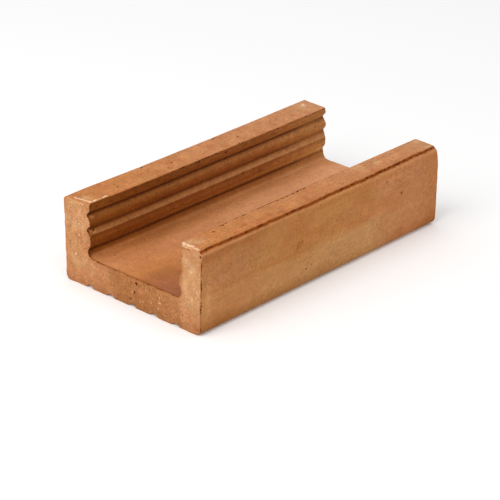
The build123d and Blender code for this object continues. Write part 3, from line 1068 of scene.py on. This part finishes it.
def fired_clay(colours):
    """Extruded brick clay after firing.

    The die drags the wet clay, which leaves a tight skin with faint lengthwise streaks. Sand and
    grog (ground fired clay) in it show as grains, specks and small pits, and the kiln's flame
    leaves blotches between golden and pinkish brown. Nothing on it is glazed, and the open pores
    swallow nearly all gloss, so it is quite matt.
    """
    material = bpy.data.materials.new("extruded_fired_clay")
    tree = new_tree(material)
    place = add_node(tree, "TexCoord").outputs["Object"]
    tint = add_node(tree, "Attribute", attribute_name="tint").outputs["Color"]
    torn_and_shade, chipped, cut, grainy = (
        add_node(tree, "Attribute", attribute_name=name).outputs["Fac"]
        for name in ("torn_and_shade", "chipped", "cut", "grainy")
    )

    def noise(scale, detail, roughness=0.5, vector=place):
        """Both outputs of a noise with so many waves in a metre."""
        inputs = {"Vector": vector, "Scale": scale, "Detail": detail, "Roughness": roughness}
        return add_node(tree, "TexNoise", inputs).outputs

    # Blotches about 6 mm across, sand grains about 2 mm and less, streaks 20 times longer than wide,
    # and patches about 25 mm across in which the grains and pits show more or less
    blotch, blotch_colour = noise(170, 4, 0.62)
    grain = noise(560, 4, 0.68)[0]
    patch = noise(42, 2)[0]
    drawn = add_node(tree, "Mapping", {"Vector": place, "Scale": (0.05, 1, 1)}).outputs[0]
    streak = noise(620, 2, vector=drawn)[0]
    sandy = ranged(tree, patch, 0.35, 0.65, 0.55, 1.35)

    # The flame turns the clay's own tint to a golden or a pinkish side
    hue = add_node(tree, "SeparateColor", {0: blotch_colour}).outputs[1]
    golden = mixed(tree, 1, tint, linear("#fffffa"), "MULTIPLY")
    pinkish = mixed(tree, 1, tint, linear("#fbf8ff"), "MULTIPLY")
    body = mixed(tree, ranged(tree, hue, 0.3, 0.7), golden, pinkish)

    # Grains and blotches are lighter or darker, and so are the streaks
    sand = worked_out(tree, "MULTIPLY", worked_out(tree, "SUBTRACT", grain, 0.5), sandy)
    cloudy = worked_out(tree, "MULTIPLY_ADD", worked_out(tree, "SUBTRACT", blotch, 0.5), 0.45, sand)
    shade = worked_out(tree, "MULTIPLY_ADD", cloudy, grainy, 1)
    shade = worked_out(tree, "MULTIPLY", shade, ranged(tree, streak, 0.3, 0.7, 0.96, 1.04))
    lit = add_node(tree, "VectorMath", {0: body, 3: shade}, operation="SCALE").outputs[0]

    def specks(scale, channel, threshold, outside, inside):
        """Round specks in some of the cells, chosen by one channel of a cell's random colour."""
        cells = add_node(tree, "TexVoronoi", {"Vector": place, "Scale": scale}).outputs
        chosen = add_node(tree, "SeparateColor", {0: cells["Color"]}).outputs[channel]
        likely = worked_out(tree, "MULTIPLY_ADD", sandy, 0.2, chosen)
        some = worked_out(tree, "GREATER_THAN", likely, threshold)
        return worked_out(tree, "MULTIPLY", some, ranged(tree, cells["Distance"], outside, inside))

    # Pits about 1 mm across, each in a cell of 4 mm, and grog as pale specks about 0.8 mm across,
    # both in few cells and most where the clay is sandy
    pit = specks(230, 0, 1.04, 0.17, 0.08)
    grog = specks(380, 1, 1.03, 0.22, 0.1)

    # The torn edges and their painted shadow break up along the grains, and so does the powder in the chips
    torn_shade_share = worked_out(tree, "MULTIPLY_ADD", grain, 1.8, torn_and_shade)
    torn_shade_share = ranged(tree, torn_shade_share, 1.18, 1.42, kind="SMOOTHSTEP")
    dark = worked_out(tree, "MAXIMUM", torn_shade_share, worked_out(tree, "MULTIPLY", pit, 0.5))
    pale = ranged(tree, worked_out(tree, "ADD", grain, chipped), 0.7, 1.1, kind="SMOOTHSTEP")
    speck = worked_out(tree, "MULTIPLY", grog, ranged(tree, cut, 0, 1, 0.1, 0.55))
    pale = worked_out(tree, "MAXIMUM", pale, speck)
    colour = mixed(tree, dark, lit, colours.torn_and_shade[:])
    colour = mixed(tree, pale, colour, colours.chipped[:])

    # Relief in millimetres: grain all over and more on the cut ends, pits 0.3 mm deep
    height = worked_out(tree, "MULTIPLY", grain, ranged(tree, cut, 0, 1, 0.10, 0.24))
    height = worked_out(tree, "MULTIPLY_ADD", pit, -0.3, height)
    bump = add_node(tree, "Bump", {"Strength": 1, "Distance": MM, "Height": height}).outputs[0]
    finish = {"Roughness": 0.95, "IOR": 1.45, "Specular IOR Level": 0.12}
    clay = add_node(tree, "BsdfPrincipled", {"Base Color": colour, "Normal": bump} | finish)
    add_node(tree, "OutputMaterial", {"Surface": clay.outputs[0]})
    return material


def set_attribute(mesh, name, values):
    """Stores one value or colour at each point of the mesh."""
    is_colour = values.ndim == 2
    layer = mesh.attributes.new(name, "FLOAT_COLOR" if is_colour else "FLOAT", "POINT")
    flat = np.ascontiguousarray(values, np.float32).ravel()
    layer.data.foreach_set("color" if is_colour else "value", flat)


class CLAY_OT_channel(bpy.types.Operator):
    """Make the clay channel, with its wear and its material"""

    bl_idname = "clay.channel"
    bl_label = "Clay channel"

    def execute(self, context):
        scene = context.scene
        sizes, wear, colours = scene.clay_sizes, scene.clay_wear, scene.clay_colours
        section, points, faces, s, side, inwards = bent_brick(sizes)
        first, second, third = (points[faces[:, corner]] for corner in range(3))
        volume = np.einsum("ij,ij->", first, np.cross(second, third))
        if volume < 0:
            faces = faces[:, ::-1]
        drift(sizes, wear, points, inwards)
        torn_and_shade, chipped, cut, recess_shade_and_crack = wear_down(sizes, wear, section, points, faces, s, side)
        tint, grainy = tinted(colours, section, points, s, cut, recess_shade_and_crack)
        mesh = bpy.data.meshes.new("fired_channel")
        mesh.from_pydata(points, [], faces)
        mesh.validate()
        mesh.polygons.foreach_set("use_smooth", np.ones(len(mesh.polygons), bool))
        layers = {"tint": tint, "grainy": grainy, "torn_and_shade": torn_and_shade, "chipped": chipped, "cut": cut}
        for name, values in layers.items():
            set_attribute(mesh, name, values)
        mesh.materials.append(fired_clay(colours))
        piece = bpy.data.objects.new("fired_channel", mesh)
        scene.collection.objects.link(piece)
        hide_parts(NODE)
        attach(piece, "root")
        return {"FINISHED"}


def pointing(forward, roll):
    """Rotation of a camera or lamp that looks along forward, tilted by roll about that line."""
    right = forward.cross(Vector((0, 0, 1))).normalized()
    up = right.cross(forward)
    tilted = right * math.cos(roll) + up * math.sin(roll)
    return Matrix((tilted, tilted.cross(forward), -forward)).transposed().to_4x4()


def towards(heading, elevation):
    """Direction that looks down by the elevation, turned by heading from +Y towards +X."""
    level = math.cos(elevation)
    return Vector((math.sin(heading) * level, math.cos(heading) * level, -math.sin(elevation)))


def seen_white(tree):
    """1 for rays that are to see the background white: from the camera, a mirror or a clear body."""
    ray = add_node(tree, "LightPath").outputs
    passed_on = worked_out(tree, "MAXIMUM", ray["Is Glossy Ray"], ray["Is Transmission Ray"])
    return worked_out(tree, "MAXIMUM", ray["Is Camera Ray"], passed_on)


def white_paper(studio):
    """Matt white paper, which glows a little where it is seen, so that it comes out as white."""
    paper = bpy.data.materials.new("matt_white_paper")
    tree = new_tree(paper)
    matt = add_node(tree, "BsdfDiffuse", {"Color": studio.floor_colour[:]})
    glow = worked_out(tree, "MULTIPLY", seen_white(tree), studio.floor_glow)
    whiter = add_node(tree, "Emission", {"Strength": glow})
    look = add_node(tree, "AddShader", {0: matt.outputs[0], 1: whiter.outputs[0]})
    add_node(tree, "OutputMaterial", {"Surface": look.outputs[0]})
    return paper


def even_sky(studio):
    """A world that lights the clay evenly from all sides, and is white where it is seen."""
    world = bpy.data.worlds.new("studio_light")
    tree = new_tree(world)
    strength = ranged(tree, seen_white(tree), 0, 1, studio.sky, 1)
    white = add_node(tree, "Background", {"Color": (1, 1, 1, 1), "Strength": strength})
    add_node(tree, "OutputWorld", {"Surface": white.outputs[0]})
    return world


class CLAY_OT_studio(bpy.types.Operator):
    """Make the pale floor, the even light, the soft lamp and the camera"""

    bl_idname = "clay.studio"
    bl_label = "Studio"

    def execute(self, context):
        scene = context.scene
        studio = scene.clay_studio
        half = FLOOR_SIZE / 2
        mesh = bpy.data.meshes.new("studio_floor")
        corners = [(-half, -half, 0), (half, -half, 0), (half, half, 0), (-half, half, 0)]
        mesh.from_pydata(corners, [], [(0, 1, 2, 3)])
        mesh.materials.append(white_paper(studio))
        ground = bpy.data.objects.new("studio_floor", mesh)
        scene.collection.objects.link(ground)
        scene.world = even_sky(studio)

        aim = Vector(studio.aim)
        lamp = bpy.data.lights.new("soft_lamp", "AREA")
        lamp.shape = "DISK"
        lamp.size = LAMP_SIZE
        lamp.energy = studio.key
        shine = towards(studio.key_heading, studio.key_elevation)
        light = bpy.data.objects.new("soft_lamp", lamp)
        light.matrix_world = Matrix.Translation(aim - shine * LAMP_DISTANCE) @ pointing(shine, 0)
        scene.collection.objects.link(light)

        lens = bpy.data.cameras.new("camera")
        lens.lens = studio.lens
        lens.sensor_width = SENSOR
        lens.clip_start = NEAREST_SEEN
        forward = towards(studio.heading, studio.elevation)
        camera = bpy.data.objects.new("camera", lens)
        stand = aim - forward * studio.distance
        camera.matrix_world = Matrix.Translation(stand) @ pointing(forward, studio.roll)
        scene.collection.objects.link(camera)
        scene.camera = camera
        scene.view_settings.view_transform = "Standard"
        return {"FINISHED"}


class CLAY_PT_panel(bpy.types.Panel):
    """Lists the steps in the sidebar"""

    bl_idname = "CLAY_PT_panel"
    bl_label = "Clay lintel channel"
    bl_space_type = "VIEW_3D"
    bl_region_type = "UI"
    bl_category = "Clay"

    def draw(self, context):
        for operator in STEPS:
            self.layout.operator(operator.bl_idname)


GROUPS = {
    "clay_sizes": ClaySectionSizes,
    "clay_wear": ClayWear,
    "clay_colours": ClayColours,
    "clay_studio": StudioSettings,
}
STEPS = (CLAY_OT_channel, CLAY_OT_studio)


def register():
    for name, group in GROUPS.items():
        bpy.utils.register_class(group)
        setattr(bpy.types.Scene, name, PointerProperty(type=group))
    for kind in STEPS + (CLAY_PT_panel,):
        bpy.utils.register_class(kind)


def unregister():
    for kind in (CLAY_PT_panel,) + STEPS:
        bpy.utils.unregister_class(kind)
    for name, group in GROUPS.items():
        delattr(bpy.types.Scene, name)
        bpy.utils.unregister_class(group)


def main():
    register()
    bpy.ops.clay.channel()
    bpy.ops.clay.studio()


if __name__ == "__main__":
    main()
